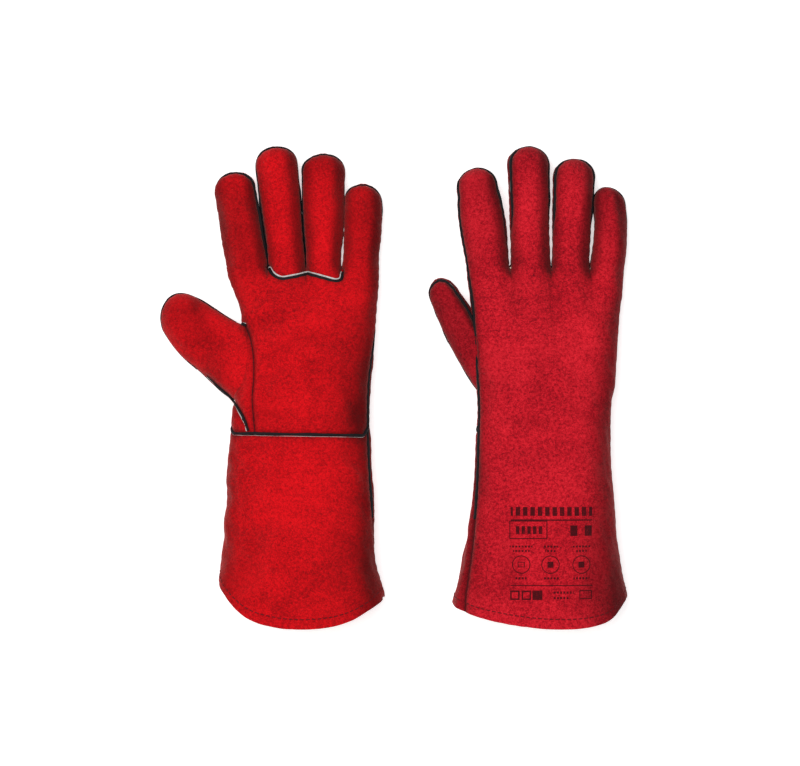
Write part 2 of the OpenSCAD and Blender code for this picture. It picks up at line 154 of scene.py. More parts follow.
# Up the thumb: half width, how far its middle lies off its line, and half height.
THUMB_SHAPE = (
    ((-24, 24.5, 3.5, 17.5), (0, 25.0, 3.6, 16.5), (20, 22.0, 1.5, 14.8), (35, 20.9, 0.5, 13.9),
     (49, 18.4, 1.2, 13.2), (56, 16.3, 1.6, 13), (62, 15.2, 2.5, 13), (68, 15.2, 3.6, 13)),
    ((-36, 12.5, 5.4, 13.5), (-20, 13.6, 4.3, 13.5), (0, 13.2, 1.7, 13), (17, 12.9, 0.6, 12.6),
     (35, 12.4, 0.5, 12.2), (49, 10.8, -0.2, 11.8), (63, 10.4, -0.4, 11.6)),
)
THUMB_SEAM = ((-4, -4, 10), (-6, 34, 24))
THUMB_START = (-24.0, -36.0)
# Where the thumb's base ends and its two halves start.
THUMB_SPLIT = 18.0
# Height of the thumb's middle, and of its lowest points.
THUMB_MID = (13.6, 11.6)
THUMB_LOW = 0.3
THUMB_ROUND = 14.0
# How deep inside hand or thumb a sheet is cut away, and how far inside a seam is hidden.
LIP = 3.2
HIDDEN_IN_HAND = -0.5
HIDDEN_IN_THUMB = -0.8
# How far below the wrist the inside of the hand is taken to reach.
BELOW_WRIST = 60


def smooth(x, xs, ys):
    """A curve through the points (xs, ys), without kinks."""
    x, xs, ys = np.asarray(x, float), np.asarray(xs, float), np.asarray(ys, float)
    slope = np.gradient(ys, xs)
    i = np.clip(np.searchsorted(xs, x, side="right") - 1, 0, len(xs) - 2)
    h = xs[i + 1] - xs[i]
    t = np.clip((x - xs[i]) / h, 0, 1)
    return (
        (2 * t**3 - 3 * t**2 + 1) * ys[i] + (t**3 - 2 * t**2 + t) * h * slope[i]
        + (3 * t**2 - 2 * t**3) * ys[i + 1] + (t**3 - t**2) * h * slope[i + 1]
    )


def table(x, rows, column=1):
    """A smooth curve through one column of a table, by its column 0."""
    return smooth(x, [r[0] for r in rows], [r[column] for r in rows])


def step(x, low, high):
    """From 0 at low to 1 at high, smoothly."""
    t = np.clip((x - low) / (high - low), 0, 1)
    return t * t * (3 - 2 * t)


def mix(a, b, t):
    """From a at t = 0 to b at t = 1."""
    return a + (b - a) * t


def lumps(p, wavelength, seed, waves=18):
    """Smooth noise of about unit height, as a sum of plane waves."""
    rng = np.random.default_rng(seed)
    d = rng.normal(size=(waves, 3))
    d /= np.linalg.norm(d, axis=1)[:, None]
    k = 2 * np.pi / (wavelength * rng.uniform(0.7, 1.5, waves))
    return np.sin((p @ d.T) * k + rng.uniform(0, 2 * np.pi, waves)).sum(axis=1) / math.sqrt(waves / 2)


# ---- Surfaces ----


def around(phi, up, e_left, e_right):
    """cos and sin of the place on an oval that is phi degrees across a sheet, from 180 at its left seam."""
    right = phi <= 90
    lat = np.where(right, phi, 180 - phi)
    e = np.where(right, e_right, e_left)
    lat = e + lat * (90 - e) / 90 if up > 0 else e - lat * (90 + e) / 90
    lat = np.radians(lat)
    return np.where(right, 1, -1) * np.cos(lat), np.sin(lat)


def dome(phi, psi, up, e_left, e_right, e_tip):
    """The same on a tube with a round end: psi is 0 on the tube and 90 at the end. Gives x, along, z."""
    phi, psi = np.radians(phi), np.radians(psi)
    x, y, z = np.cos(psi) * np.cos(phi), np.sin(psi) + 0 * phi, np.cos(psi) * np.sin(phi)
    lat, turn = np.arcsin(np.clip(z, 0, 1)), np.arctan2(y, x)
    side = np.where(x >= 0, e_right, e_left)
    e = np.radians(mix(side, e_tip, np.sin(turn) ** 2))
    half = math.pi / 2
    lat = e + lat * (half - e) / half if up > 0 else e - lat * (half + e) / half
    return np.cos(lat) * np.cos(turn), np.cos(lat) * np.sin(turn), np.sin(lat)


def tube_rows(start, end):
    """Rows of a finger or thumb, as distances up it and turns round its end."""
    s = np.linspace(start, end, max(4, int((end - start) / STEP)))
    psi = np.concatenate([np.zeros(len(s)), TIP_TURNS])
    return np.concatenate([s, np.full(len(TIP_TURNS), end)])[:, None], psi[:, None]


def finger_base_seam(g, f):
    """Seam elevations at the knuckle line: the seams between two fingers start in the middle plane."""
    return (SIDE_SEAM[g][-1][1] if f == 0 else 0, SIDE_SEAM[g][-1][2] if f == 3 else 0)


def finger_patch(g, f, up):
    s, psi = tube_rows(0, FINGER_LEN[g][f] - TIP_ROUND)
    phi = 180 * (1 - np.arange(COLS + 1) / COLS)[None, :]
    e_left, e_right, e_tip = FINGER_SEAM[g][f]
    base = finger_base_seam(g, f)
    rolled = step(s, *(SEAM_RISE[g] if f > 0 else SEAM_RISE[0]))
    x, along, z = dome(phi, psi, up, mix(base[0], e_left, rolled), mix(base[1], e_right, rolled), e_tip)
    width = smooth(s, WIDTH_S, ((EDGE_X[g][f + 1] - EDGE_X[g][f]) / 2, *FINGER_W[g][f]))
    at = s + TIP_ROUND * along
    lean = math.radians(TILT[g][f])
    turn = lean * np.minimum(1, at / LEAN_START)
    centre = (EDGE_X[g][f] + EDGE_X[g][f + 1]) / 2
    centre = centre + BOW[g][f] * np.sin(np.pi * np.clip(at / FINGER_LEN[g][f], 0, 1))
    flat = FINGER_HALF * (1 - FINGER_FLATTER * step(s, *FLATTER_S))
    return np.stack([
        centre - at * math.sin(lean) + width * x * np.cos(turn),
        CROTCH_Y + at * math.cos(lean) + width * x * np.sin(turn),
        np.maximum(0, FINGER_HALF - SINK + flat * z),
    ], axis=2)


def trunk(g, y, u, up):
    """x and z of the oval hand or cuff at height y, u across it from 0 to 1."""
    left, right = table(y, OUTLINE[g], 1), table(y, OUTLINE[g], 2)
    c, s = around(180 * (1 - u), up, table(y, SIDE_SEAM[g], 1), table(y, SIDE_SEAM[g], 2))
    half = table(y, TRUNK_HALF)
    height = half - SINK + half * np.sign(s) * np.abs(s) ** OVAL_POWER
    return (left + right) / 2 + (right - left) / 2 * c, height


def wrist_line(u):
    """Height of the wrist seam, u across the hand: it sags in the middle and turns up at both ends."""
    return WRIST_Y + 3.2 - 4.4 * step(u, 0, 0.14) - 2.2 * u + 5.4 * step(u, 0.9, 1)


def hand_patch(g, up):
    """Four lobes at the knuckle line that merge into one oval."""
    column = np.arange(4 * COLS + 1)
    f = np.minimum(3, column // COLS)
    j = (column - f * COLS) / COLS
    u = column / (4 * COLS)
    insert = np.linspace(0, 1, INSERT_ROWS + 1)[:, None]
    below = np.linspace(0, 1, HAND_ROWS + 1)[1:, None]
    seam_y = CROTCH_Y - table(np.clip(column / COLS - 1, 0, 2), INSERT_DROP)[None, :]
    y = np.concatenate([mix(CROTCH_Y, seam_y, insert), mix(seam_y, wrist_line(u)[None, :], below)])
    merge = 1 - (1 - np.clip((CROTCH_Y - y) / LOBE_END, 0, 1)) ** 2
    edges = np.array(EDGE_X[g], float)
    half = (edges[f + 1] - edges[f]) / 2
    e_left = np.where(f == 0, SIDE_SEAM[g][-1][1], 0)
    e_right = np.where(f == 3, SIDE_SEAM[g][-1][2], 0)
    c, s = around(180 * (1 - j), up, e_left, e_right)
    # The valleys between the lobes fill up and round off below the knuckle line.
    valley = (LOBE_ROUND * merge) ** 2
    inner = ((f > 0) | (j > 0.5)) & ((f < 3) | (j < 0.5))
    s = np.where(inner[None, :], up * np.sqrt((s[None, :] ** 2 + valley) / (1 + valley)), s[None, :])
    lobe_x = edges[f] + half + half * c
    # Columns spread out evenly round the oval on their way down from the lobes.
    share = np.clip((edges[f] - half * np.cos(np.pi * j) + half - edges[0]) / (edges[4] - edges[0]), 0, 1)
    lobe_u = 1 - np.degrees(np.arccos(2 * share - 1)) / 180
    x_all, z_all = trunk(g, y, mix(lobe_u[None, :], u[None, :], step(CROTCH_Y - y, *SPREAD_S)), up)
    return np.stack([
        mix(lobe_x[None, :], x_all, merge),
        y,
        np.maximum(0, mix(FINGER_HALF - SINK + FINGER_HALF * s, z_all, merge)),
    ], axis=2)


def cuff_patch(g, up):
    u = (np.arange(4 * COLS + 1) / (4 * COLS))[None, :]
    c, _ = around(180 * (1 - u), up, table(HEM_LOW, SIDE_SEAM[g], 1), table(HEM_LOW, SIDE_SEAM[g], 2))
    hem = table(1 - np.degrees(np.arccos(np.clip(c, -1, 1))) / 180, HEM[g])
    rows = int((WRIST_Y - HEM_LOW) / STEP)
    y = mix(wrist_line(u), hem, np.linspace(0, 1, rows)[:, None])
    x, z = trunk(g, y, u + 0 * y, up)
    return np.stack([x, y, np.maximum(0, z)], axis=2)


def thumb_frame(g):
    """Where the thumb's line starts, and the directions along and across it."""
    lean = math.radians(THUMB_LEAN[g])
    along = np.array([-math.sin(lean), math.cos(lean)])
    return np.array(THUMB_AT[g], float), along, np.array([math.cos(lean), math.sin(lean)])


def thumb_patch(g, up):
    s, psi = tube_rows(THUMB_START[g], THUMB_LEN[g] - THUMB_ROUND)
    phi = 180 * (1 - np.arange(COLS + 1) / COLS)[None, :]
    x, along, z = dome(phi, psi, up, *THUMB_SEAM[g])
    at = s + THUMB_ROUND * along
    base, axis, across = thumb_frame(g)
    side = table(at, THUMB_SHAPE[g], 2) + table(at, THUMB_SHAPE[g], 1) * x
    xy = base + at[..., None] * axis + side[..., None] * across
    height = THUMB_MID[g] + table(s, THUMB_SHAPE[g], 3) * z
    return np.concatenate([xy, np.maximum(THUMB_LOW, height)[..., None]], axis=2)


def in_thumb(g, p, margin):
    """Whether points lie inside the thumb, more than margin under its surface."""
    base, axis, across = thumb_frame(g)
    d = p[:, :2] - base
    s, a = d @ axis, d @ across
    a = a - table(s, THUMB_SHAPE[g], 2)
    w, h = table(s, THUMB_SHAPE[g], 1) - margin, table(s, THUMB_SHAPE[g], 3) - margin
    inside = (a / w) ** 2 + ((p[:, 2] - THUMB_MID[g]) / h) ** 2 < 1
    return inside & (s > THUMB_START[g] + margin) & (s < THUMB_LEN[g] - THUMB_ROUND)


def in_hand(g, p, margin):
    """Whether points lie inside the hand, more than margin under its surface."""
    y = p[:, 1]
    left, right = table(y, OUTLINE[g], 1), table(y, OUTLINE[g], 2)
    c = (p[:, 0] - (left + right) / 2) / ((right - left) / 2 - margin)
    half = table(y, TRUNK_HALF)
    rise = (half - margin) * np.clip(1 - c * c, 0, 1) ** (OVAL_POWER / 2)
    inside = (np.abs(c) < 1) & (np.abs(p[:, 2] - half + SINK) < rise)
    return inside & (y < CROTCH_Y) & (y > WRIST_Y - BELOW_WRIST)


class Patch:
    """A grid of points on the outer face of a glove, with the ids of its merged vertices."""

    def __init__(self, points, up):
        self.points, self.up = points, up
        self.keep = np.ones((points.shape[0] - 1, points.shape[1] - 1), bool)
        self.ids = None

    def quads(self, keep=None):
        """Quads that turn anticlockwise seen from outside."""
        i = self.ids
        q = np.stack([i[:-1, :-1], i[1:, :-1], i[1:, 1:], i[:-1, 1:]], axis=2)
        if self.up < 0:
            q = q[:, :, ::-1]
        mask = self.keep if keep is None else self.keep & keep
        return q[mask]


def merge_points(patches):
    """Gives all patches one list of vertices, with the shared ones merged."""
    rows = np.concatenate([p.points.reshape(-1, 3) for p in patches])
    whole = np.round(rows * 1e4).astype(np.int64)
    _, first, inverse = np.unique(whole, axis=0, return_index=True, return_inverse=True)
    inverse = inverse.ravel()
    start = 0
    for p in patches:
        size = p.points.shape[0] * p.points.shape[1]
        p.ids = inverse[start:start + size].reshape(p.points.shape[:2])
        start += size
    return rows[first]


def normals_of(points, quads):
    """The outward direction at each vertex, from the quads round it."""
    a, b, c, d = (points[quads[:, k]] for k in range(4))
    n = np.cross(c - a, d - b)
    out = np.zeros_like(points)
    for k in range(4):
        np.add.at(out, quads[:, k], n)
    return out / np.maximum(1e-12, np.linalg.norm(out, axis=1))[:, None]


# ---- Relief: seams pull the leather in, and it puckers, creases and sags between them ----


def resample(points, spacing=1.0):
    """A line's points at even spacing."""
    p = np.asarray(points, float)
    length = np.concatenate([[0], np.cumsum(np.linalg.norm(np.diff(p, axis=0), axis=1))])
    at = np.linspace(0, length[-1], max(2, int(length[-1] / spacing) + 1))
    return np.stack([np.interp(at, length, p[:, k]) for k in range(p.shape[1])], axis=1)


def spread(values, count):
    """The rows of values, spread out to count rows."""
    at, old = np.linspace(0, 1, count), np.linspace(0, 1, len(values))
    return np.stack([np.interp(at, old, values[:, k]) for k in range(3)], axis=1)


def curve(points, spacing=1.0):
    """A smooth line through a few points."""
    p = np.asarray(points, float)
    chord = np.concatenate([[0], np.cumsum(np.linalg.norm(np.diff(p, axis=0), axis=1))])
    at = np.linspace(0, chord[-1], max(3, int(chord[-1] / spacing) + 1))
    return np.stack([smooth(at, chord, p[:, k]) for k in range(p.shape[1])], axis=1)


def nearest(points, lines):
    """Distance of each point to the nearest of the lines, and how far along that line it is."""
    samples = [resample(line, 1.0) for line in lines]
    along = np.concatenate([np.arange(len(s)) for s in samples])
    every = np.concatenate(samples)
    tree = kdtree.KDTree(len(every))
    for i, p in enumerate(every):
        tree.insert(p, i)
    tree.balance()
    found = [tree.find(p) for p in points]
    return np.array([f[2] for f in found]), along[[f[1] for f in found]]


# Creases on the upper side of each glove: points, half width, depth. Wide ones are folds.
CREASES = (
    (
        ([(-98, -13), (-90, -19), (-80, -21)], 2.2, 1.3),
        ([(-97, -3), (-88, -8), (-79, -9)], 2.5, 1.1),
        ([(-99, 8), (-90, 6), (-82, 8)], 3.0, 0.8),
        ([(-104, 40), (-88, 48), (-72, 50)], 5.0, 1.2),
        ([(-96, 20), (-72, 30), (-40, 40), (-20, 52)], 5.5, 1.3),
        ([(-60, -30), (-55, -12), (-58, 6)], 5.0, 0.9),
        ([(-30, -33), (-28, -18), (-34, 0)], 3.5, 1.0),
        ([(-118, 26), (-126, 36), (-132, 46)], 3.5, 1.0),
        ([(-61, 80), (-61, 68), (-60, 56)], 4.0, 0.6),
        ([(-108, -40), (-100, -52), (-98, -66)], 3.5, 0.8),
        ([(-82, -38), (-80, -50), (-83, -62)], 3.0, 0.8),
        ([(-52, -39), (-50, -52), (-54, -64)], 3.5, 0.9),
        ([(-28, -38), (-30, -50), (-27, -60)], 3.0, 0.8),
        ([(-40, -150), (-36, -120), (-40, -95)], 9.0, 1.6),
        ([(-98, -150), (-100, -120), (-96, -95)], 9.0, 1.4),
    ),
    (
        ([(87, 92), (89, 70), (92, 44)], 6.5, 1.5),
        ([(117, 92), (117, 70), (119, 44)], 6.0, 1.3),
        ([(145, 92), (143, 72), (142, 46)], 6.0, 1.5),
        ([(66, 30), (84, 20), (104, 22)], 6.0, 1.0),
        ([(70, -18), (96, -28), (128, -24)], 5.0, 1.2),
        ([(154, -30), (138, -20), (124, -4)], 5.0, 1.0),
        ([(74, -52), (96, -46), (120, -52)], 5.5, 0.9),
        ([(84, -160), (86, -130), (80, -100)], 9.0, 1.5),
        ([(148, -162), (144, -130), (149, -100)], 9.0, 1.5),
        ([(110, -20), (108, 8), (112, 34)], 8.0, 1.0),
    ),
)


# The roll beside a crease: its height and distance, in depths and half widths, and how far a crease reaches.
CREASE_ROLL = (0.35, 2.2)
CREASE_REACH = 4


def bell(d, width):
    """1 at d = 0, falling to nothing over about two widths."""
    return np.exp(-((d / width) ** 2))


def crease_relief(p, strokes):
    """Creases with a low roll along each side, which run out at both ends."""
    out = np.zeros(len(p))
    for points, width, depth in strokes:
        line = curve([(x, y, 0) for x, y in points], 1.5)
        reach = CREASE_REACH * width
        near = np.where(
            (p[:, 0] > line[:, 0].min() - reach) & (p[:, 0] < line[:, 0].max() + reach)
            & (p[:, 1] > line[:, 1].min() - reach) & (p[:, 1] < line[:, 1].max() + reach)
        )[0]
        if not len(near):
            continue
        gap = np.linalg.norm(p[near, None, :2] - line[None, :, :2], axis=2)
        d, at = gap.min(axis=1), gap.argmin(axis=1) / (len(line) - 1)
        taper = np.sin(np.pi * np.clip(at, 0.02, 0.98)) ** 0.6
        roll = CREASE_ROLL[0] * bell(d - CREASE_ROLL[1] * width, width)
        out[near] += depth * taper * (roll - bell(d, width))
    return out


# Painted shade in patches: x, y, half width, half length, how much.
SHADE_SPOTS = (
    ((-119, 128, 17, 40, 0.38), (-106, 100, 8, 26, 0.3), (-75, 178, 18, 16, 0.28), (-60, 130, 5, 40, 0.25),
     (-46, 166, 17, 16, 0.32), (-19, 122, 14, 48, 0.34), (-28, 0, 17, 34, 0.3), (-88, -20, 16, 8, 0.22),
     (-24, -24, 12, 10, 0.3), (-112, -140, 12, 30, 0.22), (-18, -140, 12, 34, 0.25), (-62, -36, 60, 4, 0.15)),
    ((66, 125, 18, 42, 0.16), (62, 150, 14, 14, 0.16), (98, 172, 20, 20, 0.34), (132, 164, 18, 18, 0.26),
     (158, 128, 15, 40, 0.28), (152, 142, 6, 18, 0.3), (118, 92, 40, 10, 0.08), (64, -62, 7, 16, 0.3),
     (156, -150, 22, 26, 0.35), (60, -150, 14, 20, 0.15), (78, 2, 12, 10, 0.15)),
)
THUMB_SHADE_SPOTS = (
    ((-153, 58, 20, 18, 0.36), (-140, 34, 14, 20, 0.26), (-127, 6, 9, 20, 0.34), (-116, -8, 10, 14, 0.2)),
    ((44, 44, 60, 80, 0.5),),
)


# Painted shade on the slopes, most on those that face right: how much, direction in x and y, and from which
# slope to which.
SLOPE_SHADE = ((0.74, (1, 0), 0.16, 0.66), (0.56, (-1, 0), 0.26, 0.90), (0.3, (0, 1), 0.4, 1.0))
# How much painted shade the slopes of the thumb get against those of the rest, and the most painted shade
# that leather gets.
THUMB_SLOPES = 0.5
DARKEST = 0.95
# Painted shade on the hand in the valley where the thumb joins it, and how wide that valley is.
MEET_SHADE = (0.05, 0.3)
MEET_WIDE = 3


def painted_shade(spots, p, n, slopes=1.0):
    """Painted shade: on the slopes, most on those that face right, and in a few places."""
    out = sum(much * step(n[:, :2] @ np.array(way), low, high) for much, way, low, high in SLOPE_SHADE)
    out = slopes * out
    for x, y, wide, long, much in spots:
        out = out + much * np.exp(-(((p[:, 0] - x) / wide) ** 2) - ((p[:, 1] - y) / long) ** 2)
    return out


# Lumps of the free leather: height, wavelength, seed. They fade out towards a seam over LUMPS_FREE.
LUMPS = ((0.85, 46, 11), (0.42, 19, 21), (0.16, 8, 31))
LUMPS_FREE = 14
# At a seam: the valley's depth and half width, and the height, distance and half width of the roll beside it.
VALLEY = (1.35, 2.0)
ROLL = (0.5, 5.5, 3)
# Puckers along a seam: height, wavelength, how far out they reach, and how close to the seam they start.
PUCKER = (0.28, 7.5, 5.5, 1.6)
PUCKER_DRIFT = (1.6, 9.0)
# Painted shade at a seam: how much and how wide, in the seam and around it. And in a crease, by its depth.
SEAM_SHADE = ((0.5, 1.6), (0.14, 5))
CREASE_SHADE = 0.12
# The relief fades out towards the table between the first two heights, and creases between the last two.
RELIEF_Z = (0.5, 5)
CREASE_Z = (11, 17)


def relief(g, p, seams):
    """How far each point moves out, and how much painted shade lies there."""
    d, along = nearest(p, seams)
    out = sum(high * lumps(p, wavelength, seed + g) for high, wavelength, seed in LUMPS)
    out = step(d, 0, LUMPS_FREE) * out
    out += -VALLEY[0] * bell(d, VALLEY[1]) + ROLL[0] * bell(d - ROLL[1], ROLL[2])
    high, wavelength, reach, start = PUCKER
    wave = np.sin(2 * np.pi * along / wavelength + PUCKER_DRIFT[0] * np.sin(along / PUCKER_DRIFT[1]))
    out += high * wave * bell(d, reach) * (1 - bell(d, start))
    # Painted shade in the seams' valleys and in the creases, where the leather lies in shade.
    dark = sum(much * bell(d, width) for much, width in SEAM_SHADE)
    fold = crease_relief(p, CREASES[g]) * step(p[:, 2], *CREASE_Z)
    return (out + fold) * step(p[:, 2], *RELIEF_Z), np.clip(dark + CREASE_SHADE * np.clip(-fold, 0, 2), 0, 1)


# ---- Meshes ----


def make_object(name, points, faces, material, normals=None, flat_from=None, shade=None):
    """A mesh with its rest place and its shade as attributes. Faces from number flat_from on are flat."""
    mesh = bpy.data.meshes.new(name)
    mesh.from_pydata((points * MM).tolist(), [], [list(map(int, f)) for f in faces])
    mesh.polygons.foreach_set("use_smooth", np.array(
        [flat_from is None or i < flat_from for i in range(len(mesh.polygons))], dtype=bool
    ))
    attribute = mesh.attributes.new("rest", "FLOAT_VECTOR", "POINT")
    attribute.data.foreach_set("vector", (points * MM).astype(np.float32).ravel())
    attribute = mesh.attributes.new("shade", "FLOAT", "POINT")
    shade = np.zeros(len(points)) if shade is None else shade
    attribute.data.foreach_set("value", shade.astype(np.float32))
    mesh.materials.append(material)
    mesh.update()
    if normals is not None:
        loops = np.zeros(len(mesh.loops), np.int32)
        mesh.loops.foreach_get("vertex_index", loops)
        per_loop = normals[loops]
        if flat_from is not None:
            per_loop[4 * flat_from:] = 0
        mesh.normals_split_custom_set(per_loop.tolist())
    o = bpy.data.objects.new(name, mesh)
    bpy.context.scene.collection.objects.link(o)
    return o


def shell_faces(quads, size):
    """The faces of a closed sheet: outside, inside and rim. Inner vertices come size after outer ones."""
    inner = quads[:, ::-1] + size
    a = quads.ravel()
    b = np.roll(quads, -1, axis=1).ravel()
    key, back = a * size + b, b * size + a
    rim = ~np.isin(key, back)
    a, b = a[rim], b[rim]
    return np.concatenate([quads, inner]), np.stack([b, a, a + size, b + size], axis=1)


def make_sheet(name, points, normals, quads, material, inset=0.0, thick=LEATHER_T, shade=None):
    """A closed sheet of the given thickness, inset under the outer surface, and its area."""
    used, local = np.unique(quads, return_inverse=True)
    local = local.reshape(quads.shape)
    p, n = points[used], normals[used]
    outer = p - n * inset
    inner = p - n * (inset + thick)
    for face in (outer, inner):
        face[:, 2] = np.maximum(face[:, 2], inset if face is outer else inset + thick)
    faces, rim = shell_faces(local, len(used))
    sheet_shade = np.zeros(len(used)) if shade is None else shade[used]
    o = make_object(
        name, np.concatenate([outer, inner]), np.concatenate([faces, rim]), material,
        normals=np.concatenate([n, -n]), flat_from=len(faces), shade=np.concatenate([sheet_shade, sheet_shade]),
    )
    a, b, c, d = (outer[local[:, k]] for k in range(4))
    twice = np.linalg.norm(np.cross(b - a, c - a), axis=1) + np.linalg.norm(np.cross(c - a, d - a), axis=1)
    return o, twice.sum() / 2


# The power that squares up the section of a flat bead.
FLAT_POWER = 0.6


def sweep(name, runs, material, half_w, half_h, sides=8, flat=False):
    """Beads along lines. A run is points, outward directions, sideways and outward shift and maybe widths."""
    points, faces = [], []
    for run in runs:
        p, out, shift, lift = run[:4]
        width = np.broadcast_to(run[4] if len(run) > 4 else 1.0, (len(p),))
        t = np.gradient(p, axis=0)
        t /= np.maximum(1e-9, np.linalg.norm(t, axis=1))[:, None]
        out = out - t * (out * t).sum(axis=1)[:, None]
        out /= np.maximum(1e-9, np.linalg.norm(out, axis=1))[:, None]
        side = np.cross(t, out)
        centre = p + side * np.reshape(shift, (-1, 1)) + out * np.reshape(lift, (-1, 1))
        # Under the glove a bead keeps its thickness and lies against the table.
        reach = width * (half_h * np.abs(out[:, 2]) + half_w * np.abs(side[:, 2]))
        centre[:, 2] = np.maximum(centre[:, 2], reach - UNDER)
        angle = 2 * np.pi * np.arange(sides) / sides
        power = FLAT_POWER if flat else 1.0
        c = np.sign(np.cos(angle)) * np.abs(np.cos(angle)) ** power
        s = np.sign(np.sin(angle)) * np.abs(np.sin(angle)) ** power
        ring = (
            centre[:, None, :] + side[:, None, :] * (c * half_w)[None, :, None] * width[:, None, None]
            + out[:, None, :] * (s * half_h)[None, :, None] * width[:, None, None]
        )
        base = sum(len(q) for q in points)
        points.append(ring.reshape(-1, 3))
        i = np.arange(len(p) - 1)[:, None] * sides
        k = np.arange(sides)[None, :]
        nxt = (k + 1) % sides
        quads = np.stack([i + k, i + sides + k, i + sides + nxt, i + nxt], axis=2).reshape(-1, 4)
        faces += (base + quads).tolist()
        last = base + (len(p) - 1) * sides
        faces.append(list(range(base, base + sides)))
        faces.append(list(range(last + sides - 1, last - 1, -1)))
    return make_object(name, np.concatenate(points), faces, material)


# ---- Materials ----


class Nodes:
    """A short way to write a material's node tree."""

    def __init__(self, name):
        self.material = bpy.data.materials.new(name)
        self.material.use_nodes = True
        self.tree = self.material.node_tree
        self.shader = self.tree.nodes["Principled BSDF"]

    def add(self, kind, inputs=None, **settings):
        node = self.tree.nodes.new(kind)
        for key, value in settings.items():
            setattr(node, key, value)
        for key, value in (inputs or {}).items():
            self.put(node, key, value)
        return node

    def put(self, node, key, value):
        if isinstance(value, bpy.types.NodeSocket):
            self.tree.links.new(value, node.inputs[key])
        else:
            node.inputs[key].default_value = value

    def math(self, operation, a, b=0.0):
        return self.add("ShaderNodeMath", {0: a, 1: b}, operation=operation).outputs[0]

    def total(self, *terms):
        """The sum of values, each times its weight."""
        parts = [self.math("MULTIPLY", value, weight) for value, weight in terms]
        out = parts[0]
        for part in parts[1:]:
            out = self.math("ADD", out, part)
        return out

    def ramp(self, value, low, high):
        """value from low to high becomes 0 to 1."""
        node = self.add("ShaderNodeMapRange", {"Value": value, "From Min": low, "From Max": high})
        return node.outputs["Result"]

    def mix(self, factor, a, b, blend="MIX"):
        node = self.add("ShaderNodeMix", data_type="RGBA", blend_type=blend)
        self.put(node, 0, factor)
        self.put(node, 6, a)
        self.put(node, 7, b)
        return node.outputs[2]

    def noise(self, where, wavelength, detail=2.0, rough=0.5, distortion=0.0):
        """Noise with features of about wavelength millimetres."""
        node = self.add("ShaderNodeTexNoise", {
            "Vector": where, "Scale": 1 / (wavelength * MM), "Detail": detail, "Roughness": rough,
            "Distortion": distortion,
        })
        return node.outputs["Fac"]

    def attribute(self, name, vector=False):
        node = self.add("ShaderNodeAttribute", attribute_name=name)
        return node.outputs["Vector" if vector else "Fac"]

    def surface(self, height, strength, distance, values):
        """Sets the shader's values and its bump, and gives the finished material."""
        for key, value in values.items():
            self.put(self.shader, key, value)
        bump = self.add("ShaderNodeBump", {"Height": height, "Strength": strength, "Distance": distance})
        self.put(self.shader, "Normal", bump.outputs["Normal"])
        return self.material


def linear(*srgb):
    """A linear colour from red, green and blue of 0 to 255 in sRGB."""
    return tuple((c / 255 / 12.92) if c <= 10 else ((c / 255 + 0.055) / 1.055) ** 2.4 for c in srgb) + (1.0,)


# The nap: wavelengths of its clouds, brushed patches, grain and fibre, and how deep it is.
CLOUDS, PATCHES, GRAIN, FIBRE = 42, 12, 2.2, 0.9
NAP_DEPTH = 0.55


def suede(name, bright, mid, dark, mottle, ink=()):
    """Split leather: a short nap, brushed lighter and darker in patches."""
    n = Nodes(name)
    where = n.attribute("rest", vector=True)
    clouds = n.ramp(n.noise(where, CLOUDS, 2, 0.5, 0.3), 0.32, 0.68)
    patches = n.ramp(n.noise(where, PATCHES, 3, 0.6, 0.5), 0.32, 0.68)
    grain = n.ramp(n.noise(where, GRAIN, 3, 0.75), 0.34, 0.66)
    fibre = n.ramp(n.noise(where, FIBRE, 2, 0.7), 0.34, 0.66)
    value = n.total((clouds, 0.20), (patches, 0.10), (grain, 0.36 * mottle), (fibre, 0.34 * mottle))
    colour = n.mix(n.ramp(value, 0.15, 0.55), dark, mid)
    colour = n.mix(n.ramp(value, 0.50, 0.90), colour, bright)
    # The shade attribute paints shade into the leather's colour, towards a fifth of its dark red.
    darkest = tuple(c * 0.2 for c in dark[:3]) + (1.0,)
    colour = n.mix(n.math("MULTIPLY", n.attribute("shade"), 0.9), colour, darkest)
    if ink:
        colour = n.mix(ink_mask(n, where, ink, grain), colour, linear(42, 8, 14))
    height = n.total((patches, 0.35), (grain, 0.55), (fibre, 0.35))
    return n.surface(height, 0.75, NAP_DEPTH * MM, {
        "Base Color": colour, "Roughness": 0.92, "Specular IOR Level": 0.12, "Sheen Weight": 0.22,
        "Sheen Roughness": 0.45, "Sheen Tint": (1.0, 0.35, 0.32, 1.0),
    })


# How much of a stripe's pitch is inked.
STRIPE_SHARE = 0.62


def box_mask(n, x, y, box):
    """1 inside a mark, 0 outside. The box is centre x, centre y, half width, half height or 0 for a ring,
    line width or 0 when solid, and stripe pitch or 0."""
    cx, cy, hw, hh, line, pitch = (v * MM for v in box)
    dx = n.math("ABSOLUTE", n.math("SUBTRACT", x, cx))
    dy = n.math("ABSOLUTE", n.math("SUBTRACT", y, cy))
    if hh:
        d = n.math("MAXIMUM", n.math("SUBTRACT", dx, hw), n.math("SUBTRACT", dy, hh))
    else:
        d = n.math("SUBTRACT", n.math("POWER", n.total((dx, dx), (dy, dy)), 0.5), hw)
    inside = n.math("LESS_THAN", d, 0.0)
    if line:
        inside = n.math("MULTIPLY", inside, n.math("GREATER_THAN", d, -line))
    if pitch:
        phase = n.math("FRACT", n.math("DIVIDE", x, pitch))
        inside = n.math("MULTIPLY", inside, n.math("LESS_THAN", phase, STRIPE_SHARE))
    return inside


def ink_mask(n, where, boxes, grain):
    """Marks printed in ink that has sunk unevenly into the nap."""
    split = n.add("ShaderNodeSeparateXYZ", {0: where})
    total = None
    for box in boxes:
        mask = box_mask(n, split.outputs[0], split.outputs[1], box)
        total = mask if total is None else n.math("MAXIMUM", total, mask)
    worn = n.ramp(grain, 0.0, 0.5)
    return n.math("MULTIPLY", total, n.math("ADD", n.math("MULTIPLY", worn, 0.3), 0.62))


